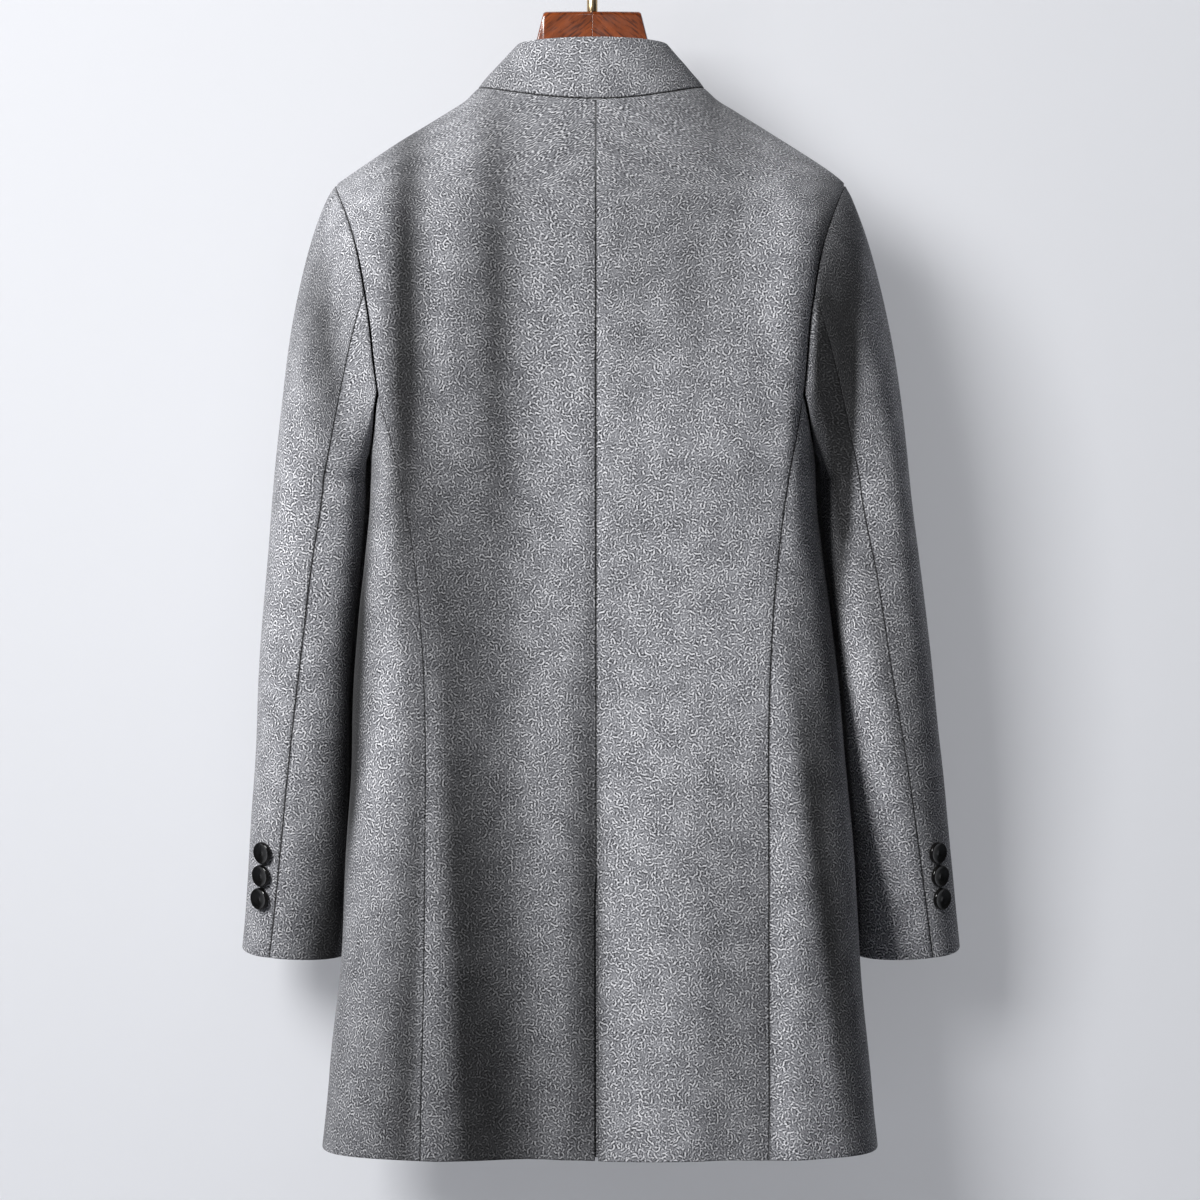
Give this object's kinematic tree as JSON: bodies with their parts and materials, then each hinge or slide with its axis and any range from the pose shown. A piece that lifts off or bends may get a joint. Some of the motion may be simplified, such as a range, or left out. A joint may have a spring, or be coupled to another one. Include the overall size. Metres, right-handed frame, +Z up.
{
  "type": "overcoat on a hanger",
  "caption": "Long wool overcoat with a stand collar, buttoned front and back vent, hanging on a shaped wooden hanger with a metal hook.",
  "frame": {"origin": "inside the crown of the hanger's hook, where a rail touches it", "axes": "+Z up, -Y towards the viewer of the picture, who sees the coat's back, and +X towards the wearer's right"},
  "size_m": [0.617, 0.2466, 1.0363],
  "materials": {
    "wool": "napped mid-grey melange wool, matt",
    "horn": "polished black",
    "wood": "red-brown, clear gloss lacquer",
    "brass": "brushed"
  },
  "bodies": {
    "root": {"back_left": "wool", "side_left": "wool", "front_left": "wool", "sleeve_upper_left": "wool", "sleeve_under_left": "wool", "cuff_button_left_1": "horn", "cuff_button_left_2": "horn", "cuff_button_left_3": "horn", "hanger_left": "wood", "back_right": "wool", "side_right": "wool", "front_right": "wool", "sleeve_upper_right": "wool", "sleeve_under_right": "wool", "cuff_button_right_1": "horn", "cuff_button_right_2": "horn", "cuff_button_right_3": "horn", "hanger_right": "wood", "vent_underlap": "wool", "collar": "wool", "front_button_1": "horn", "front_button_2": "horn", "front_button_3": "horn", "front_button_4": "horn", "front_button_5": "horn", "hook_ferrule": "brass", "hook": "brass"}
  },
  "joints": []
}
